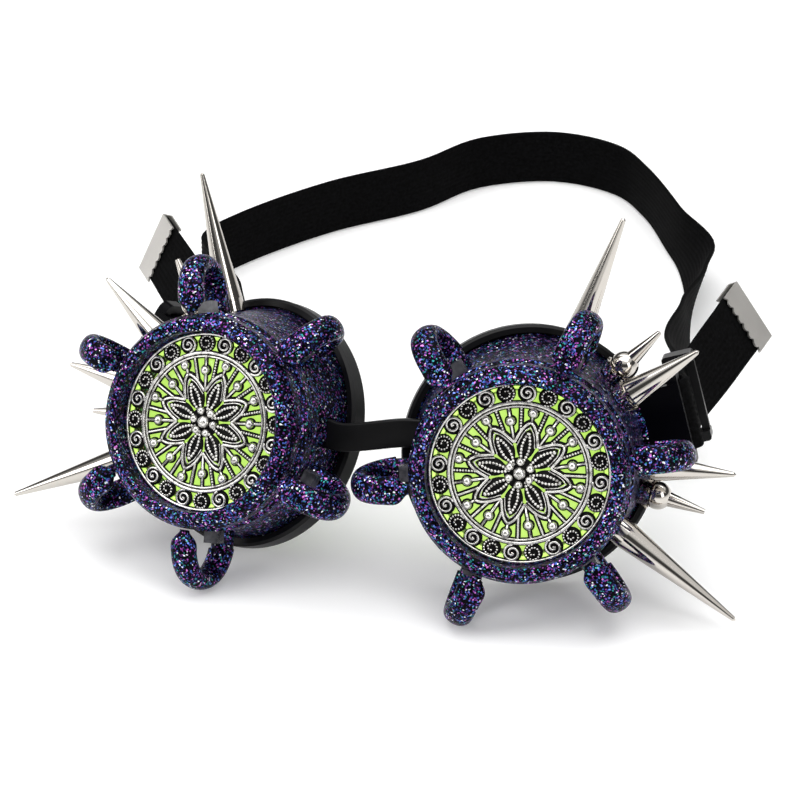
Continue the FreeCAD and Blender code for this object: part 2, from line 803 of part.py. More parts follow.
def smooth_between(stations):
    """Centripetal Catmull-Rom curve through the stations, which neither loops nor overshoots."""
    fine = []
    last = len(stations) - 1
    points = [middle for middle, width in stations]
    points = [points[0] * 2 - points[1]] + points + [points[-1] * 2 - points[-2]]
    for index in range(last):
        near = points[index:index + 4]
        knots = [0.0]
        for start, end in zip(near, near[1:]):
            knots.append(knots[-1] + math.sqrt((end - start).Length))
        width = stations[index][1]
        next_width = stations[index + 1][1]
        steps = max(1, round((near[2] - near[1]).Length / strap_step))
        for step in range(steps):
            share = step / steps
            at = knots[1] + (knots[2] - knots[1]) * share
            first = [between(near[k], near[k + 1], knots[k], knots[k + 1], at) for k in range(3)]
            second = [between(first[k], first[k + 1], knots[k], knots[k + 2], at) for k in range(2)]
            point = between(second[0], second[1], knots[1], knots[2], at)
            ease = share * share * (3 - 2 * share)
            fine.append((point, (width * (1 - ease) + next_width * ease).normalize()))
    fine.append(stations[-1])
    return fine


def ribbon(stations):
    sections = []
    for index, (middle, width) in enumerate(stations):
        before = stations[max(index - 1, 0)][0]
        after = stations[min(index + 1, len(stations) - 1)][0]
        forward = (after - before).normalize()
        across = (width - forward * width.dot(forward)).normalize() * (strap_width / 2)
        out = forward.cross(across).normalize() * (strap_thickness / 2)
        corners = [middle + across + out, middle + across - out,
                   middle - across - out, middle - across + out]
        sections.append(Part.makePolygon(corners + corners[:1]))
    return Part.makeLoft(sections, True, True)


def clip_on(end, neighbour):
    """Seat a clip over the strap's cut end."""
    forward = (end[0] - neighbour[0]).normalize()
    across = (end[1] - forward * end[1].dot(forward)).normalize()
    out = forward.cross(across)
    depth = clip_length / 2 - clip_sheet - strap_fit
    return moved(end_clip(), axes_placement(end[0] - forward * depth, forward, across, out))


def nose_bridge(left, right):
    """Band between the cups; its T-shaped heads sit inside them."""
    parts = []
    sections = []
    for goggle in (right, left):
        head_face = cup_radius - bridge_head_inset
        inner = head_face - bridge_head_thickness
        band = bridge_end(inner, bridge_stub, bridge_height, bridge_thickness)
        head = bridge_end(inner, head_face, bridge_head_height, bridge_head_depth)
        parts.append(goggle.put(band.fuse(head)))
        middle = bridge_centre()
        tall = bridge_height / 2
        thick = bridge_thickness / 2
        corners = [goggle.point(Vector(-bridge_stub, middle.y + up, middle.z + out))
                   for up, out in ((tall, thick), (tall, -thick), (-tall, -thick), (-tall, thick))]
        sections.append(Part.makePolygon(corners + corners[:1]))
    span = Part.makeLoft(sections, True, True)
    return biggest(span.fuse(parts).removeSplitter())


def bridge_middle(left, right):
    local = bridge_centre() + Vector(-bridge_stub, 0, 0)
    return (left.point(local) + right.point(local)) * 0.5


# Assembly

left_goggle = Goggle("left", 1, left_pitch, left_roll, left_filigree_turn)
right_goggle = Goggle("right", -1, right_pitch, right_roll, right_filigree_turn)
plate = filigree()
nodes = {}
drawn_left = cup_pieces(left_loop_angles, left_fasteners)
drawn_right = cup_pieces(right_loop_angles, right_fasteners)
for goggle, drawn in ((left_goggle, drawn_left), (right_goggle, drawn_right)):
    resting = [goggle.put(shape) for name, shape in drawn.items() if name != "strap_slider"]
    goggle.stand(lowest_point(resting))
    for name, shape in drawn.items():
        nodes["%s_%s" % (goggle.name, name)] = goggle.put(shape)
    turned = plate.copy()
    turned.rotate(Vector(), WORLD_UP, goggle.filigree_turn)
    nodes["%s_filigree" % goggle.name] = moved(turned, goggle.place)

left_end = strap_end_stations(left_goggle, left_tail_end, left_tail_lean)
right_end = strap_end_stations(right_goggle, right_tail_end, right_tail_lean)
route = [(Vector(x, y, height), lean_up(lean)) for x, y, height, lean in strap_route]
strap_line = smooth_between(right_end + route + left_end[::-1])
nodes["head_strap"] = ribbon(strap_line)
nodes["right_end_clip"] = clip_on(strap_line[0], strap_line[1])
nodes["left_end_clip"] = clip_on(strap_line[-1], strap_line[-2])
nodes["nose_bridge"] = nose_bridge(left_goggle, right_goggle)

# The origin is the middle of the footprint, on the table
boxes = [shape.optimalBoundingBox() for shape in nodes.values()]
middle_x = (min(box.XMin for box in boxes) + max(box.XMax for box in boxes)) / 2
middle_y = (min(box.YMin for box in boxes) + max(box.YMax for box in boxes)) / 2
to_origin = FreeCAD.Placement(Vector(-middle_x, -middle_y, -min(box.ZMin for box in boxes)),
                              FreeCAD.Rotation())

os.makedirs("parts", exist_ok=True)
for name, shape in nodes.items():
    moved(shape, to_origin).exportStep("parts/%s.step" % name)
    print(name, "valid" if shape.isValid() else "NOT VALID", len(shape.Solids), round(shape.Volume, 1))


def told(label, point, axis):
    here = to_origin.multVec(point)
    print("FRAME", label, [round(value / 1000, 6) for value in here], [round(value, 6) for value in axis])


for goggle in (left_goggle, right_goggle):
    told(goggle.name + "_lens", goggle.point(Vector()), goggle.axes[2])
    told(goggle.name + "_up", goggle.point(Vector()), goggle.axes[1])
    told(goggle.name + "_slider", goggle.point(lug_place.multVec(Vector(slider_distance, 0, 0))),
         goggle.direction(Vector(0, 0, -1)))
    told(goggle.name + "_rim", goggle.point(Vector(0, 0, -rim_depth)), goggle.direction(rim_normal * -1))
told("bridge", bridge_middle(left_goggle, right_goggle), WORLD_UP)
print("BOX", [round(max(getattr(box, key + "Max") for box in boxes)
                    - min(getattr(box, key + "Min") for box in boxes), 2) for key in "XYZ"])
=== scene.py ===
import json
import math

import bpy
import numpy as np
from mathutils import Matrix, Vector


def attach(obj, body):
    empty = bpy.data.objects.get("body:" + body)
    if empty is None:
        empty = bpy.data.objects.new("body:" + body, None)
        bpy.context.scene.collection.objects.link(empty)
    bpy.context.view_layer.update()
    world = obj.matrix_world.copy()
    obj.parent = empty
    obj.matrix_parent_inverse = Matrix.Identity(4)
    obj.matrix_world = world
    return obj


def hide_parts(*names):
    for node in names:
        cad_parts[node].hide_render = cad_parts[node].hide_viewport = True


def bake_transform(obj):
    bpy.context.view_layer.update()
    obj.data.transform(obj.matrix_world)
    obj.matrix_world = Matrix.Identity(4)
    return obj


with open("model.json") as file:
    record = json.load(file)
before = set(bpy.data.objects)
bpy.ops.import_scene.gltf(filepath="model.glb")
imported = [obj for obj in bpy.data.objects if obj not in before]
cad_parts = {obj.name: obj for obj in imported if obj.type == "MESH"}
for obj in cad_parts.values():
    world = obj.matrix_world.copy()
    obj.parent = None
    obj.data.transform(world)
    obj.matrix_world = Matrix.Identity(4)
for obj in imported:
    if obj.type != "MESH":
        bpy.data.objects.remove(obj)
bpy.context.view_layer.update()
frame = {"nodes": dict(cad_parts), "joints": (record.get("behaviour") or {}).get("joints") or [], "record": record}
nodes = frame["nodes"]
joints = {joint["name"]: joint for joint in frame["joints"]}
scene = bpy.context.scene
MM = 0.001
FULL_TURN = 2 * math.pi


# Frames of the two cups: x to the wearer's left, y up, z forward, origin at the filigree's front.
# cup_point and cup_direction mirror x, so that it points to the temple on both sides.
ROLL_DEGREES = {"left": 0.0, "right": 5.0}
SIDE = {"left": 1, "right": -1}


def cup_frame(name):
    joint = joints[name + "_ring_turn"]
    forward = Vector(joint["axis"]).normalized()
    across = Vector((-forward.y, forward.x, 0)).normalized()
    up = forward.cross(across)
    turn = math.radians(ROLL_DEGREES[name]) * SIDE[name]
    x_axis = across * math.cos(turn) + up * math.sin(turn)
    y_axis = up * math.cos(turn) - across * math.sin(turn)
    return Vector(joint["pos_m"]), x_axis, y_axis, forward


CUPS = {name: cup_frame(name) for name in SIDE}


def cup_direction(name, x, y, z):
    _, x_axis, y_axis, forward = CUPS[name]
    return x_axis * (SIDE[name] * x) + y_axis * y + forward * z


def cup_point(name, x, y, z):
    """Point of the cup's mirrored frame, in millimetres."""
    return CUPS[name][0] + cup_direction(name, x, y, z) * MM


# Mesh helpers
TINY = 1e-9
DISC_SIDES = 20


def mesh_object(name, verts, faces, materials, slots=None):
    """Smooth mesh; slots gives each face's material."""
    mesh = bpy.data.meshes.new(name)
    mesh.from_pydata([tuple(v) for v in verts], [], faces)
    mesh.validate()
    mesh.update()
    for material in materials:
        mesh.materials.append(material)
    if slots is not None:
        mesh.polygons.foreach_set("material_index", slots)
    mesh.polygons.foreach_set("use_smooth", [True] * len(mesh.polygons))
    obj = bpy.data.objects.new(name, mesh)
    scene.collection.objects.link(obj)
    return obj


class Soup:
    """Collects faces of many small shapes into one mesh."""

    def __init__(self):
        self.verts = []
        self.faces = []
        self.slots = []

    def add(self, verts, faces, slot=0):
        base = len(self.verts)
        self.verts.extend(verts)
        self.faces.extend([tuple(base + i for i in face) for face in faces])
        self.slots.extend([slot] * len(faces))

    def tube(self, points, radius, closed=False, around=6, flat=1.0, slot=0):
        """Tube along points in the plate's plane; flat squeezes its height."""
        count = len(points)
        verts = []
        for i, point in enumerate(points):
            before = points[i - 1] if i > 0 or closed else point
            after = points[(i + 1) % count] if i < count - 1 or closed else point
            along = after - before
            along = along / max(np.linalg.norm(along), TINY)
            side = np.array((-along[1], along[0], 0.0))
            for k in range(around):
                turn = FULL_TURN * k / around
                verts.append(point + side * (radius * math.cos(turn))
                             + np.array((0, 0, flat * radius * math.sin(turn))))
        faces = []
        for i in range(count if closed else count - 1):
            j = (i + 1) % count
            for k in range(around):
                n = (k + 1) % around
                faces.append((i * around + k, j * around + k, j * around + n, i * around + n))
        if not closed:
            faces.append(tuple(range(around)))
            faces.append(tuple(range((count - 1) * around, count * around))[::-1])
        self.add(verts, faces, slot)

    def ring(self, radius, z, wire, steps, around=8, flat=1.0, slot=0):
        """Closed tube round the plate's centre."""
        self.tube(circle(radius, steps, z), wire, True, around, flat, slot)

    def ball(self, centre, radius, rows=6, around=10, flat=1.0):
        verts = [np.array((0, 0, radius * flat)) + centre]
        for r in range(1, rows):
            lean = math.pi * r / rows
            for k in range(around):
                turn = FULL_TURN * k / around
                verts.append(np.array((radius * math.sin(lean) * math.cos(turn),
                                       radius * math.sin(lean) * math.sin(turn),
                                       radius * flat * math.cos(lean))) + centre)
        verts.append(np.array((0, 0, -radius * flat)) + centre)
        faces = [(0, 1 + k, 1 + (k + 1) % around) for k in range(around)]
        for r in range(rows - 2):
            low = 1 + r * around
            for k in range(around):
                n = (k + 1) % around
                faces.append((low + k, low + around + k, low + around + n, low + n))
        low = 1 + (rows - 2) * around
        faces += [(len(verts) - 1, low + (k + 1) % around, low + k) for k in range(around)]
        self.add(verts, faces)

    def slab(self, outline, centre, thickness, slot):
        """Flat plate with this outline, whose top is at the centre's height."""
        count = len(outline)
        top = [np.array((x, y, 0)) + centre for x, y in outline]
        low = [np.array((x, y, -thickness)) + centre for x, y in outline]
        faces = [tuple(range(count)), tuple(range(count, 2 * count))[::-1]]
        for k in range(count):
            n = (k + 1) % count
            faces.append((k, k + count, n + count, n))
        self.add(top + low, faces, slot)

    def disc(self, centre, radius, thickness, slot):
        turns = [FULL_TURN * k / DISC_SIDES for k in range(DISC_SIDES)]
        outline = [(radius * math.cos(turn), radius * math.sin(turn)) for turn in turns]
        self.slab(outline, centre, thickness, slot)


def sweep(name, centres, widths, profile, material):
    """Sweep a closed (across, out) profile in millimetres along centres in metres."""
    verts = []
    count = len(centres)
    size = len(profile)
    for i, centre in enumerate(centres):
        along = (centres[min(i + 1, count - 1)] - centres[max(i - 1, 0)]).normalized()
        across = (widths[i] - along * widths[i].dot(along)).normalized()
        out = along.cross(across)
        for a, b in profile:
            verts.append(centre + (across * a + out * b) * MM)
    faces = []
    for i in range(count - 1):
        for k in range(size):
            n = (k + 1) % size
            faces.append((i * size + k, i * size + n, (i + 1) * size + n, (i + 1) * size + k))
    faces.append(tuple(range(size))[::-1])
    faces.append(tuple(range((count - 1) * size, count * size)))
    return mesh_object(name, verts, faces, (material,))


# Node helpers
BUMP_DISTANCE = 0.0003


def new_material(name):
    material = bpy.data.materials.new(name)
    material.use_nodes = True
    tree = material.node_tree
    return material, tree, tree.nodes["Principled BSDF"]


def link(tree, start, end):
    tree.links.new(start, end)


def set_values(node, values):
    for socket, value in values.items():
        node.inputs[socket].default_value = value


def object_coords(tree):
    return tree.nodes.new("ShaderNodeTexCoord").outputs["Object"]


def surface_normal(tree):
    return tree.nodes.new("ShaderNodeNewGeometry").outputs["Normal"]


def ramp(tree, factor, stops, mode="LINEAR"):
    """Colour ramp over a factor."""
    node = tree.nodes.new("ShaderNodeValToRGB")
    node.color_ramp.interpolation = mode
    elements = node.color_ramp.elements
    while len(elements) > 1:
        elements.remove(elements[-1])
    elements[0].position, elements[0].color = stops[0][0], (*stops[0][1], 1)
    for place, colour in stops[1:]:
        elements.new(place).color = (*colour, 1)
    link(tree, factor, node.inputs["Fac"])
    return node.outputs["Color"]


def noise(tree, scale, detail):
    node = tree.nodes.new("ShaderNodeTexNoise")
    set_values(node, {"Scale": scale, "Detail": detail})
    link(tree, object_coords(tree), node.inputs["Vector"])
    return node.outputs["Fac"]


def bump_from(tree, height, strength, shader):
    node = tree.nodes.new("ShaderNodeBump")
    set_values(node, {"Strength": strength, "Distance": BUMP_DISTANCE})
    link(tree, height, node.inputs["Height"])
    link(tree, node.outputs["Normal"], shader.inputs["Normal"])


def vector_math(tree, operation, first, second=None):
    """Vector Math node; its second input is a socket or a constant."""
    node = tree.nodes.new("ShaderNodeVectorMath")
    node.operation = operation
    link(tree, first, node.inputs[0])
    if isinstance(second, (tuple, Vector)):
        node.inputs[1].default_value = second
    elif second is not None:
        link(tree, second, node.inputs["Scale" if operation == "SCALE" else 1])
    return node.outputs["Value" if operation in ("DOT_PRODUCT", "LENGTH") else "Vector"]


def number_math(tree, operation, first, second):
    """Math node; its second input is a socket or a constant."""
    node = tree.nodes.new("ShaderNodeMath")
    node.operation = operation
    link(tree, first, node.inputs[0])
    if isinstance(second, float):
        node.inputs[1].default_value = second
    else:
        link(tree, second, node.inputs[1])
    return node.outputs[0]


def toned_material(name, scale, detail, stops, values):
    """Material whose base colour drifts between stops, with plain values for other inputs."""
    material, tree, shader = new_material(name)
    cloud = noise(tree, scale, detail)
    tone = ramp(tree, cloud, stops)
    link(tree, tone, shader.inputs["Base Color"])
    set_values(shader, values)
    return material, tree, shader, cloud, tone


# Materials: colours are linear, lengths in metres
LUG_MASK_DEPTH, LUG_MASK_RADIUS = -0.0275, 0.0333
GLITTER_SCALE = 2400.0
GLITTER_HUES = (
    (0.00, (0.001, 0.001, 0.002)), (0.53, (0.004, 0.004, 0.010)),
    (0.65, (0.014, 0.016, 0.070)), (0.72, (0.055, 0.016, 0.105)),
    (0.78, (0.040, 0.085, 0.330)), (0.84, (0.250, 0.050, 0.290)),
    (0.885, (0.030, 0.260, 0.250)), (0.92, (0.150, 0.230, 0.700)),
    (0.95, (0.580, 0.180, 0.580)), (0.975, (0.780, 0.820, 0.880)))
GLITTER_SHINE = ((0.0, (0.0, 0.0, 0.0)), (0.5, (0.3, 0.3, 0.3)), (0.75, (0.75, 0.75, 0.75)))
GLITTER_VALUES = {"Roughness": 0.32, "Specular IOR Level": 0.03, "Coat Weight": 0.02,
                  "Coat Roughness": 0.18}
DRIFT_SCALE, DRIFT_DETAIL, GRAIN_DETAIL = 60.0, 3.0, 4.0
ELASTIC_BUMP = 0.35
ELASTIC_TONES = ((0.35, (0.001, 0.001, 0.001)), (0.75, (0.004, 0.004, 0.0045)))
LENS_TONES = ((0.3, (0.58, 0.98, 0.15)), (0.7, (0.66, 1.00, 0.21)))
# Facing beyond which the lens's front faces get their painted glow.
LENS_GLOW_FACING = 0.5
GLUE_TONES = ((0.3, (0.03, 0.03, 0.035)), (0.7, (0.13, 0.13, 0.145)))
SILVER_TONES = ((0.30, (0.24, 0.23, 0.22)), (0.46, (0.66, 0.65, 0.62)), (0.8, (0.86, 0.85, 0.82)))


def strap_lug_mask(tree, coords, name):
    """0 on the strap lug of a cup, which is plain black, and 1 on the rest of the cup."""
    origin, _, _, forward = CUPS[name]
    offset = vector_math(tree, "SUBTRACT", coords, origin)
    depth = vector_math(tree, "DOT_PRODUCT", offset, forward)
    radius = vector_math(tree, "LENGTH", vector_math(tree, "CROSS_PRODUCT", offset, forward))
    ahead = number_math(tree, "GREATER_THAN", depth, LUG_MASK_DEPTH)
    near = number_math(tree, "LESS_THAN", radius, LUG_MASK_RADIUS)
    return number_math(tree, "MAXIMUM", ahead, near)


def glitter_material(name, cup=None):
    """Black lacquer full of tiny coloured flakes, each tilted its own way."""
    material, tree, shader = new_material(name)
    coords = object_coords(tree)
    cells = tree.nodes.new("ShaderNodeTexVoronoi")
    set_values(cells, {"Scale": GLITTER_SCALE})
    link(tree, coords, cells.inputs["Vector"])
    chance = cells.outputs["Color"]
    split = tree.nodes.new("ShaderNodeSeparateColor")
    link(tree, chance, split.inputs["Color"])
    flake = split.outputs["Red"]
    if cup:
        flake = number_math(tree, "MULTIPLY", flake, strap_lug_mask(tree, coords, cup))
    shine = ramp(tree, flake, GLITTER_SHINE)
    link(tree, ramp(tree, flake, GLITTER_HUES, "CONSTANT"), shader.inputs["Base Color"])
    link(tree, shine, shader.inputs["Metallic"])
    set_values(shader, GLITTER_VALUES)
    tilt = vector_math(tree, "SUBTRACT", chance, (0.5, 0.5, 0.5))
    tilted = vector_math(tree, "ADD", surface_normal(tree), vector_math(tree, "SCALE", tilt, shine))
    link(tree, vector_math(tree, "NORMALIZE", tilted), shader.inputs["Normal"])
    return material


def plain_material(name, colour, rough, metal=0.0, grain=0.0, grain_scale=400.0, spread=0.06,
                   gloss=0.5):
    """One colour with a little drift in tone and a fine grain."""
    dark = tuple(c * (1 - spread) for c in colour)
    light = tuple(min(1, c * (1 + spread)) for c in colour)
    material, tree, shader, _, _ = toned_material(
        name, DRIFT_SCALE, DRIFT_DETAIL, ((0.3, dark), (0.7, light)),
        {"Roughness": rough, "Metallic": metal, "Specular IOR Level": gloss})
    if grain:
        bump_from(tree, noise(tree, grain_scale, GRAIN_DETAIL), grain, shader)
    return material


def elastic_material():
    """Matte webbing: fine threads between the lengthwise ribs."""
    material, tree, shader, threads, _ = toned_material(
        "elastic", scale=900.0, detail=4.0, stops=ELASTIC_TONES,
        values={"Roughness": 0.85, "Specular IOR Level": 0.04})
    bump_from(tree, threads, ELASTIC_BUMP, shader)
    return material


def lens_material():
    """Opaque lime with a painted glow on its front side, for the light on the lens, which sits shaded behind the
    plate.
    """
    # The emission is painted light on the shaded lens, not a lamp.
    material, tree, shader, _, tone = toned_material(
        "green_lens", scale=18.0, detail=1.0, stops=LENS_TONES,
        values={"Roughness": 0.12, "Emission Strength": 0.80})
    forward = (CUPS["left"][3] + CUPS["right"][3]).normalized()
    facing = vector_math(tree, "DOT_PRODUCT", surface_normal(tree), forward)
    front = number_math(tree, "GREATER_THAN", facing, LENS_GLOW_FACING)
    # Painted glow: the lime tone as emission, on the forward-facing faces only.
    link(tree, vector_math(tree, "SCALE", tone, front), shader.inputs["Emission Color"])
    return material


def glue_material():
    """Cloudy, nearly clear glue over black."""
    return toned_material("clear_glue", scale=300.0, detail=3.0, stops=GLUE_TONES,
                          values={"Roughness": 0.25, "Transmission Weight": 0.15})[0]


def silver_material():
    """Antique silver: bright raised metal, darkened by a blotchy patina."""
    return toned_material("antique_silver", scale=700.0, detail=3.0, stops=SILVER_TONES,
                          values={"Metallic": 0.92, "Roughness": 0.26})[0]


RUBBER = plain_material("black_rubber", (0.003, 0.003, 0.0035), 0.38, grain=0.04, gloss=0.16)
SILVER = silver_material()
PATINA = plain_material("patina", (0.004, 0.004, 0.004), 0.6, gloss=0.1)
ELASTIC = elastic_material()
LENS = lens_material()

LOOKS = {
    "glitter_black": glitter_material("glitter_black"),
    "black_rubber": RUBBER,
    "black_plastic": plain_material("black_plastic", (0.004, 0.004, 0.0045), 0.36, grain=0.05,
                                    grain_scale=900.0, gloss=0.22),
    "clear_glue": glue_material(),
    "nickel": plain_material("nickel", (0.55, 0.52, 0.48), 0.10, metal=1.0, spread=0.02),
    "satin_steel": plain_material("satin_steel", (0.60, 0.58, 0.55), 0.42, metal=0.9, grain=0.12,
                                  grain_scale=1500.0),
    "green_lens": LENS,
    "antique_silver": SILVER,
    "elastic": ELASTIC,
}
for part in frame["record"]["subparts"]:
    obj = nodes[part["node"]]
    obj.data.materials.clear()
    obj.data.materials.append(LOOKS[part["material_slot"]])
for name in SIDE:
    cup = nodes[name + "_eye_cup"]
    cup.data.materials[0] = glitter_material(name + "_cup_glitter", name)


# Filigree plates, drawn in millimetres with x and y in the plate and z forward. The balls' rows
# and sides are their mesh counts; a spacing is the distance between the beads of a rope.
FILIGREE_TURN = {"left": 80.0, "right": -8.0}
DARK_SLOT, GREEN_SLOT = 1, 2
SMALL_BALL, HUB_BALL = (4, 6), (8, 16)
BASE_Z, WIRE_Z, BEAD_Z = -0.65, -0.35, -0.2
BASE_THICK, BEAD_BASE_THICK = 0.5, 0.4

RIM_STEPS, RIM_RADIUS, RIM_WIRE = 96, 24.6, 0.42
RIM_BASE_RADIUS, RIM_BASE_Z, RIM_BASE_WIRE, RIM_BASE_FLAT = RIM_RADIUS - 0.2, -0.7, 0.5, 0.4
LEDGE_RADIUS, LEDGE_HALF, LEDGE_Z, LEDGE_FLAT, LEDGE_SIDES = 23.75, 1.2, -1.1, 0.02, 4
INNER_STEPS, INNER_RING, INNER_LINE = 80, (19.35, 0.50), (18.35, 0.28)
INNER_BASE_RADIUS, INNER_BASE_Z, INNER_BASE_WIRE, INNER_BASE_FLAT = 18.9, -0.75, 1.15, 0.25

SCROLL_COUNT, SCROLL_PHASE, SCROLL_CIRCLE = 24, 7.5, 22.15
SCROLL_SIZE, SCROLL_DISC, SCROLL_WIRE = 2.28, 2.66, 0.37
SCROLL_TURNS, SCROLL_POINTS, SCROLL_SHRINK, SCROLL_EASE = 1.75, 34, 0.9, 1.4
SCROLL_BEAD = 0.38
SCROLL_SPACING = 2.1 * SCROLL_BEAD

BAR_COUNT, BAR_START, BAR_END, BAR_STEPS = 16, 11.4, 18.4, 8
BAR_WIRE, BAR_EDGE, BAR_EDGE_DROP, BAR_EDGE_FLAT = 0.34, 0.80, -0.25, 0.35
BAR_Z = WIRE_Z - 0.1
BAR_BEAD = 0.42
BAR_SPACING = 1.9 * BAR_BEAD
FIRST_ROPE_BAR, ROPE_BARS = 13, 8

PETALS, PETAL_VALLEY, PETAL_TIP, PETAL_STEPS = 8, 8.6, 14.3, 12
PETAL_POINT, PETAL_WAIST = 0.8, 0.9
PETAL_WIRE, PETAL_EDGE, PETAL_EDGE_DROP, PETAL_EDGE_FLAT = 0.40, 1.00, -0.35, 0.3
PETAL_Z = WIRE_Z + 0.05
LINE_WIRE, LINE_SCALE, LINE_INSET, LINE_SWING = 0.16, 0.93, 0.45, 0.88
LINE_Z = WIRE_Z - 0.1

BEAD, BEAD_BASE, BEAD_FLAT, OUTER_BEADS, INNER_BEADS = 1.35, 0.35, 0.9, 16.9, 14.5
PIN, PIN_EDGE, PIN_EDGE_DROP, PIN_EDGE_FLAT = 0.40, 0.72, -0.1, 0.3

LEAF_START, LEAF_TIP, LEAF_BULGE, LEAF_STEPS = 3.0, 11.4, 0.125, 12
LEAF_PLATE_TIP, LEAF_PLATE_BULGE = 12.4, 0.275
LEAF_BEAD = 0.52
LEAF_SPACING = 1.8 * LEAF_BEAD

HUB, HUB_BEAD, HUB_CIRCLE, HUB_BEADS, HUB_PHASE = 1.8, 1.2, 3.2, 6, 7.5
HUB_RING_RADIUS, HUB_RING_Z, HUB_RING_WIRE, HUB_RING_STEPS = 0.62, 1.34, 0.18, 14


def on_circle(radius, degrees, z=0.0):
    turn = math.radians(degrees)
    return np.array((radius * math.cos(turn), radius * math.sin(turn), z))


def circle(radius, count, z):
    return [on_circle(radius, 360.0 * k / count, z) for k in range(count)]


def raised(points, z):
    return [point + np.array((0, 0, z)) for point in points]


def spiral(centre_angle):
    """Scroll that starts on the inner side and winds in to its eye."""
    centre = on_circle(SCROLL_CIRCLE, centre_angle)
    points = []
    for k in range(SCROLL_POINTS):
        share = k / (SCROLL_POINTS - 1)
        radius = SCROLL_SIZE * (1 - SCROLL_SHRINK * share ** SCROLL_EASE)
        turn = centre_angle + 180 + 360 * SCROLL_TURNS * share
        points.append(centre + on_circle(radius, turn))
    return points


def dotted(soup, points, radius, spacing):
    """Row of beads along a line, for the rope-like wires."""
    carried = 0.0
    for start, end in zip(points, points[1:]):
        length = np.linalg.norm(end - start)
        while carried < length:
            soup.ball(start + (end - start) * (carried / length), radius, *SMALL_BALL)
            carried += spacing
        carried -= length


def arc_leaf(start, tip, bulge):
    """Two sides of a pointed leaf between two points of the plate."""
    along = tip - start
    side = np.array((-along[1], along[0], 0.0))
    shares = [k / (LEAF_STEPS - 1) for k in range(LEAF_STEPS)]
    return [[start + along * t + side * (hand * bulge * 4 * t * (1 - t)) for t in shares]
            for hand in (1, -1)]


def scrolls(soup):
    """Ring of spirals on dark discs, plain and rope by turns."""
    for k in range(SCROLL_COUNT):
        angle = SCROLL_PHASE + 360.0 / SCROLL_COUNT * k
        soup.disc(on_circle(SCROLL_CIRCLE, angle, BASE_Z), SCROLL_DISC, BASE_THICK, DARK_SLOT)
        line = raised(spiral(angle), WIRE_Z)
        if k % 2:
            dotted(soup, line, SCROLL_BEAD, SCROLL_SPACING)
        else:
            soup.tube(line, SCROLL_WIRE)
            soup.ball(on_circle(SCROLL_CIRCLE, angle, WIRE_Z), SCROLL_WIRE, *SMALL_BALL)


def bars(soup):
    """Rays between the flower and the inner ring, half of them rope."""
    for k in range(BAR_COUNT):
        angle = 360.0 / BAR_COUNT * (k + 0.5)
        line = [on_circle(BAR_START + (BAR_END - BAR_START) * t / BAR_STEPS, angle, BAR_Z)
                for t in range(BAR_STEPS + 1)]
        soup.tube(raised(line, BAR_EDGE_DROP), BAR_EDGE, flat=BAR_EDGE_FLAT, slot=DARK_SLOT)
        if (k - FIRST_ROPE_BAR) % BAR_COUNT < ROPE_BARS:
            dotted(soup, line, BAR_BEAD, BAR_SPACING)
        else:
            soup.tube(line, BAR_WIRE)


def petal_side(angle, hand):
    """One side of a petal's outline, and the thin line inside it, from valley to tip."""
    edge, inner = [], []
    for step in range(PETAL_STEPS):
        t = step / (PETAL_STEPS - 1)
        swing = hand * 180.0 / PETALS * (1 - t) ** PETAL_POINT
        radius = (PETAL_VALLEY + (PETAL_TIP - PETAL_VALLEY) * t
                  - PETAL_WAIST * math.sin(math.pi * t) * (1 - t))
        line_radius = radius * LINE_SCALE - LINE_INSET
        edge.append(on_circle(radius, angle + swing, PETAL_Z))
        inner.append(on_circle(line_radius, angle + swing * LINE_SWING, LINE_Z))
    return edge, inner[1:]


def flower(soup):
    """Petals with beads round them and rope-edged leaves inside them."""
    for k in range(PETALS):
        angle = 360.0 / PETALS * k
        valley = angle + 180.0 / PETALS
        for near, turn in ((PETAL_TIP, angle), (PETAL_VALLEY, valley)):
            pin = [on_circle(near, turn, BASE_Z), on_circle(BAR_END, turn, BASE_Z)]
            soup.tube(pin, PIN)
            soup.tube(raised(pin, PIN_EDGE_DROP), PIN_EDGE, flat=PIN_EDGE_FLAT, slot=DARK_SLOT)
        for radius, turn in ((OUTER_BEADS, angle), (INNER_BEADS, valley)):
            soup.disc(on_circle(radius, turn, BASE_Z), BEAD + BEAD_BASE, BEAD_BASE_THICK, DARK_SLOT)
            soup.ball(on_circle(radius, turn, BEAD_Z), BEAD, flat=BEAD_FLAT)
        for hand in (1, -1):
            edge, inner = petal_side(angle, hand)
            soup.tube(edge, PETAL_WIRE)
            soup.tube(raised(edge, PETAL_EDGE_DROP), PETAL_EDGE, flat=PETAL_EDGE_FLAT,
                      slot=DARK_SLOT)
            soup.tube(inner, LINE_WIRE)
        start = on_circle(LEAF_START, angle, WIRE_Z)
        one, other = arc_leaf(start, on_circle(LEAF_PLATE_TIP, angle, WIRE_Z), LEAF_PLATE_BULGE)
        outline = [(point[0], point[1]) for point in one + other[::-1][1:-1]]
        soup.slab(outline[::-1], np.array((0, 0, BASE_Z)), BASE_THICK, DARK_SLOT)
        for line in arc_leaf(start, on_circle(LEAF_TIP, angle, WIRE_Z), LEAF_BULGE):
            dotted(soup, line, LEAF_BEAD, LEAF_SPACING)


def hub(soup):
    """Ball in a ring of beads at the plate's centre."""
    soup.disc(np.array((0, 0, BASE_Z)), HUB_CIRCLE + HUB_BEAD, BASE_THICK, DARK_SLOT)
    soup.ball(np.array((0, 0, WIRE_Z)), HUB, *HUB_BALL)
    soup.ring(HUB_RING_RADIUS, HUB_RING_Z, HUB_RING_WIRE, HUB_RING_STEPS, around=6)
    for k in range(HUB_BEADS):
        soup.ball(on_circle(HUB_CIRCLE, HUB_PHASE + 360.0 / HUB_BEADS * k, BEAD_Z), HUB_BEAD)


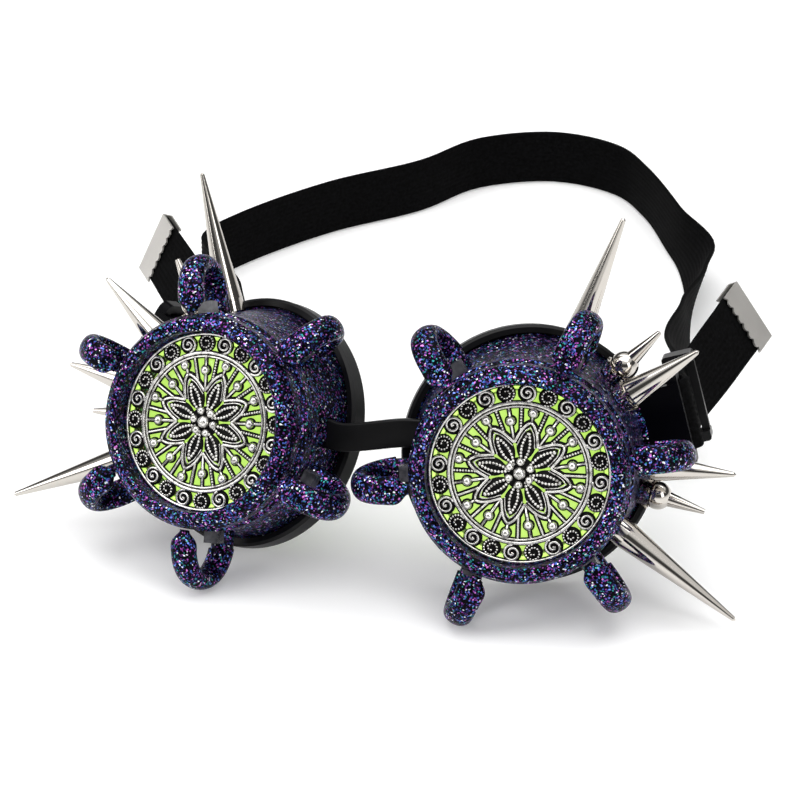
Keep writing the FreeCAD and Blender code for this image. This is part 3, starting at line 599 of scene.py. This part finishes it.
def filigree(name):
    """The whole plate, turned to its place in the ring."""
    soup = Soup()
    soup.ring(RIM_RADIUS, WIRE_Z, RIM_WIRE, RIM_STEPS)
    soup.ring(RIM_BASE_RADIUS, RIM_BASE_Z, RIM_BASE_WIRE, RIM_STEPS, flat=RIM_BASE_FLAT,
              slot=DARK_SLOT)
    # Green ring on the ledge, in the lens material, so its front carries the same painted glow.
    soup.ring(LEDGE_RADIUS, LEDGE_Z, LEDGE_HALF, RIM_STEPS, LEDGE_SIDES, LEDGE_FLAT, GREEN_SLOT)
    for radius, wire in (INNER_RING, INNER_LINE):
        soup.ring(radius, WIRE_Z, wire, INNER_STEPS)
    soup.ring(INNER_BASE_RADIUS, INNER_BASE_Z, INNER_BASE_WIRE, INNER_STEPS, flat=INNER_BASE_FLAT,
              slot=DARK_SLOT)
    scrolls(soup)
    bars(soup)
    flower(soup)
    hub(soup)
    origin, x_axis, y_axis, forward = CUPS[name]
    turn = math.radians(FILIGREE_TURN[name])
    c, s = math.cos(turn), math.sin(turn)
    verts = []
    for v in soup.verts:
        x, y = v[0] * c - v[1] * s, v[0] * s + v[1] * c
        offset = x_axis * float(x) + y_axis * float(y) + forward * float(v[2])
        verts.append(origin + offset * MM)
    obj = mesh_object(name + "_filigree_detail", verts, soup.faces, (SILVER, PATINA, LENS),
                      soup.slots)
    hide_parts(name + "_filigree")
    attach(obj, name + "_ring")


filigree("left")
filigree("right")


# Head strap: the same way as the solid, with lengthwise ribs. Millimetres on the table, x to the
# wearer's left and y to the back, with the strap's lean to the wearer's left in degrees.
LUG_ANGLE, LUG_RADIUS, LUG_BAR_Z = 17.0, 43.0, -38.5
STRAP_HALF, STRAP_THICK, STRAP_EDGE_HALF = 10.0, 1.5, 0.3
STRAP_RIBS, POINTS_PER_RIB, RIB_HEIGHT = 12, 4, 0.16
STRAP_STEP = 0.0045
LAYER, FOLD, FOLD_DEGREES = 1.0, 3.27, range(90, 271, 30)
SLIDER_AT, SLIDER_HALF, SLIDER_RUN = 28.5, 4.5, 7.0
TAIL_BEND, TAIL_LEAN = 0.55, 1.5
LEFT_LENS_X, TABLE_Z = 45.75, 0.0001
TABLE = Vector(CUPS["left"][0]) - Vector((LEFT_LENS_X, 0, 0)) * MM
TABLE.z = TABLE_Z
ROUTE = ((-82, 122, 22, 0), (-104, 161, 13, 0), (-120, 186, 10.3, 0), (-115, 206.5, 10.3, 0),
         (-94.7, 245.2, 10.3, 0), (-69.9, 275.7, 10.3, 0), (-55.3, 304.8, 10.3, 0),
         (-29.8, 319.6, 10.3, 0), (-4.8, 313.7, 10.3, 0), (11.3, 294.9, 10.3, 0),
         (30.6, 260.5, 10.3, 6), (43.5, 238.5, 9.3, 30), (48.5, 212, 10.5, 18),
         (54, 171, 15, -8), (62, 130, 23.5, -36))
TAILS = {"left": (83, 124, 45, -32), "right": (-113, 128, 40.5, 30)}


def table_station(x, y, z, lean):
    """Point of the strap's middle line, and the strap's width direction there."""
    turn = math.radians(lean)
    return TABLE + Vector((x, y, z)) * MM, Vector((math.sin(turn), 0, math.cos(turn)))


def strap_end(name):
    """From the tail through the slider, round the lug's bar and back through the slider."""
    turn = math.radians(LUG_ANGLE)
    outward = (math.cos(turn), math.sin(turn))
    across = cup_direction(name, -outward[1], outward[0], 0)

    def at(back, out):
        radius = LUG_RADIUS + out
        return cup_point(name, radius * outward[0], radius * outward[1], LUG_BAR_Z - back)

    straight = (SLIDER_AT - SLIDER_HALF - SLIDER_RUN, SLIDER_AT, SLIDER_AT + SLIDER_HALF,
                SLIDER_AT + SLIDER_HALF + SLIDER_RUN)
    start = at(straight[-1], LAYER)
    tail, up = table_station(*TAILS[name])
    bend = start + (tail - start) * TAIL_BEND, (across + up * TAIL_LEAN).normalized()
    stations = [(tail, up), bend]
    stations += [(at(back, LAYER), across) for back in straight[::-1]]
    for degrees in FOLD_DEGREES:
        angle = math.radians(degrees)
        stations.append((at(FOLD * math.cos(angle), FOLD * math.sin(angle)), across))
    stations += [(at(back, -LAYER), across) for back in straight]
    return stations


def smooth_between(stations, step):
    """Centripetal curve through the stations, in steps of about this length."""
    points = [point for point, width in stations]
    points = [points[0] * 2 - points[1]] + points + [points[-1] * 2 - points[-2]]
    centres, widths = [], []

    def blend(one, other, low, high, at):
        return one * ((high - at) / (high - low)) + other * ((at - low) / (high - low))

    for index in range(len(stations) - 1):
        near = points[index:index + 4]
        knots = [0.0]
        for start, end in zip(near, near[1:]):
            knots.append(knots[-1] + math.sqrt((end - start).length))
        count = max(2, round((near[2] - near[1]).length / step))
        for k in range(count):
            share = k / count
            at = knots[1] + (knots[2] - knots[1]) * share
            first = [blend(near[n], near[n + 1], knots[n], knots[n + 1], at) for n in range(3)]
            second = [blend(first[n], first[n + 1], knots[n], knots[n + 2], at) for n in range(2)]
            centres.append(blend(second[0], second[1], knots[1], knots[2], at))
            ease = share * share * (3 - 2 * share)
            widths.append(stations[index][1] * (1 - ease) + stations[index + 1][1] * ease)
    centres.append(stations[-1][0])
    widths.append(stations[-1][1])
    return centres, widths


def strap_profile():
    """Ribbed section of the webbing with thin edges."""
    count = STRAP_RIBS * POINTS_PER_RIB
    face = []
    for k in range(count + 1):
        across = STRAP_HALF * (2 * k / count - 1)
        rib = 0.5 + 0.5 * math.cos(FULL_TURN * (k / POINTS_PER_RIB - 0.5))
        out = STRAP_THICK / 2 - RIB_HEIGHT + RIB_HEIGHT * rib
        if k in (0, count):
            out = STRAP_EDGE_HALF
        face.append((across, out))
    return face + [(a, -b) for a, b in face[::-1]]


strap_stations = (strap_end("right") + [table_station(*place) for place in ROUTE]
                  + strap_end("left")[::-1])
strap_centres, strap_widths = smooth_between(strap_stations, STRAP_STEP)
strap = sweep("strap_webbing", strap_centres, strap_widths, strap_profile(), ELASTIC)
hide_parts("head_strap")
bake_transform(strap)


# Nose bridge: a flat rubber band with soft edges, in millimetres
BRIDGE_RADIUS, BRIDGE_DEGREES, BRIDGE_Z = 30.2, 169.0, -17.0
BRIDGE_Y = BRIDGE_RADIUS * math.sin(math.radians(BRIDGE_DEGREES))
BRIDGE_HALF_WIDTH, BRIDGE_HALF_THICK, BRIDGE_EDGE = 4.0, 1.3, 0.7
BRIDGE_REACHES = (22.5, 29.0, 34.0)
BRIDGE_STEP = 0.0015
CORNER_STEPS = 4


def rounded_box(half_a, half_b, radius):
    points = []
    for corner, (sa, sb) in enumerate(((1, 1), (-1, 1), (-1, -1), (1, -1))):
        for k in range(CORNER_STEPS + 1):
            turn = math.radians(90 * corner + 90 * k / CORNER_STEPS)
            points.append((sa * (half_a - radius) + radius * math.cos(turn),
                           sb * (half_b - radius) + radius * math.sin(turn)))
    return points


bridge_stations = []
for name, reaches in (("right", BRIDGE_REACHES), ("left", BRIDGE_REACHES[::-1])):
    up = cup_direction(name, 0, 1, 0)
    bridge_stations += [(cup_point(name, -reach, BRIDGE_Y, BRIDGE_Z), up) for reach in reaches]
bridge_centres, bridge_widths = smooth_between(bridge_stations, BRIDGE_STEP)
bridge_profile = rounded_box(BRIDGE_HALF_WIDTH, BRIDGE_HALF_THICK, BRIDGE_EDGE)
bridge = sweep("bridge_band", bridge_centres, bridge_widths, bridge_profile, RUBBER)
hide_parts("nose_bridge")
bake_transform(bridge)


# Camera, floor and light: metres, degrees and watts
CAMERA_OFFSET, CAMERA_AZIMUTH, CAMERA_PITCH = Vector((0.2222, -0.6469, 0.3480)), 18.01, 26.0
CAMERA_SENSOR, CAMERA_LENS, CAMERA_REACH = 36.0, 126.0, 50.0
FLOOR_SIZE, FLOOR_Z, FLOOR_GLOW = 12, -0.0001, 0.16
FLOOR_VALUES = {"Base Color": (0.90, 0.90, 0.90, 1), "Roughness": 0.8, "Specular IOR Level": 0.0,
                "Emission Color": (1, 1, 1, 1)}
LIGHTS = (("overhead", (0.0, -0.1, 1.3), (0, 0, 0), (1.6, 1.4), 17.0),
          ("left_front", (-1.1, -1.0, 0.9), (0, -0.05, 0.03), (0.8, 0.9), 9.0),
          ("right_front", (1.2, -0.9, 0.7), (0, -0.05, 0.03), (0.5, 0.9), 6.0))
ROOM_LIGHT = {"Color": (1, 1, 1, 1), "Strength": 0.45}
ROOM_TONES = ((0.0, (1, 1, 1)), (0.10, (1, 1, 1)), (0.20, (0.06, 0.06, 0.06)),
              (0.55, (0.08, 0.08, 0.08)), (0.68, (0.9, 0.9, 0.9)), (1.0, (1, 1, 1)))


def look_from(position, azimuth, pitch):
    a, p = math.radians(azimuth), math.radians(pitch)
    forward = Vector((-math.sin(a) * math.cos(p), math.cos(a) * math.cos(p), -math.sin(p)))
    right = Vector((math.cos(a), math.sin(a), 0))
    up = right.cross(forward)
    turn = Matrix((right, up, -forward)).transposed().to_4x4()
    return Matrix.Translation(position) @ turn


def shows_background(tree):
    """1 for the rays that see the background, 0 for those that only carry light."""
    path = tree.nodes.new("ShaderNodeLightPath")
    total = path.outputs["Is Camera Ray"]
    for kind in ("Is Glossy Ray", "Is Transmission Ray"):
        total = number_math(tree, "MAXIMUM", total, path.outputs[kind])
    return total


def area_light(name, location, target, size, power):
    data = bpy.data.lights.new(name, "AREA")
    data.shape = "RECTANGLE"
    data.size, data.size_y = size
    data.energy = power
    obj = bpy.data.objects.new(name, data)
    scene.collection.objects.link(obj)
    direction = (Vector(target) - Vector(location)).normalized()
    turn = direction.to_track_quat("-Z", "Y").to_matrix().to_4x4()
    obj.matrix_world = Matrix.Translation(location) @ turn


between = (CUPS["left"][0] + CUPS["right"][0]) / 2
camera = bpy.data.objects.new("camera", bpy.data.cameras.new("camera"))
scene.collection.objects.link(camera)
camera.data.sensor_width = CAMERA_SENSOR
camera.data.lens = CAMERA_LENS
camera.data.clip_end = CAMERA_REACH
camera.matrix_world = look_from(between + CAMERA_OFFSET, CAMERA_AZIMUTH, CAMERA_PITCH)
scene.camera = camera

bpy.ops.mesh.primitive_plane_add(size=FLOOR_SIZE, location=(0, 0, FLOOR_Z))
floor = bpy.context.object
floor.name = "floor"
floor_look, tree, shader = new_material("floor")
set_values(shader, FLOOR_VALUES)
glow = number_math(tree, "MULTIPLY", shows_background(tree), FLOOR_GLOW)
link(tree, glow, shader.inputs["Emission Strength"])
floor.data.materials.append(floor_look)

for light in LIGHTS:
    area_light(*light)

world = bpy.data.worlds.new("studio")
scene.world = world
world.use_nodes = True
tree = world.node_tree
tree.nodes.clear()
lit = tree.nodes.new("ShaderNodeBackground")
set_values(lit, ROOM_LIGHT)
seen = tree.nodes.new("ShaderNodeBackground")
height = tree.nodes.new("ShaderNodeSeparateXYZ")
link(tree, tree.nodes.new("ShaderNodeTexCoord").outputs["Generated"], height.inputs[0])
link(tree, ramp(tree, height.outputs["Z"], ROOM_TONES), seen.inputs["Color"])
seen.inputs["Strength"].default_value = 1.0
mix = tree.nodes.new("ShaderNodeMixShader")
link(tree, shows_background(tree), mix.inputs[0])
link(tree, lit.outputs[0], mix.inputs[1])
link(tree, seen.outputs[0], mix.inputs[2])
link(tree, mix.outputs[0], tree.nodes.new("ShaderNodeOutputWorld").inputs[0])
scene.view_settings.view_transform = "Standard"
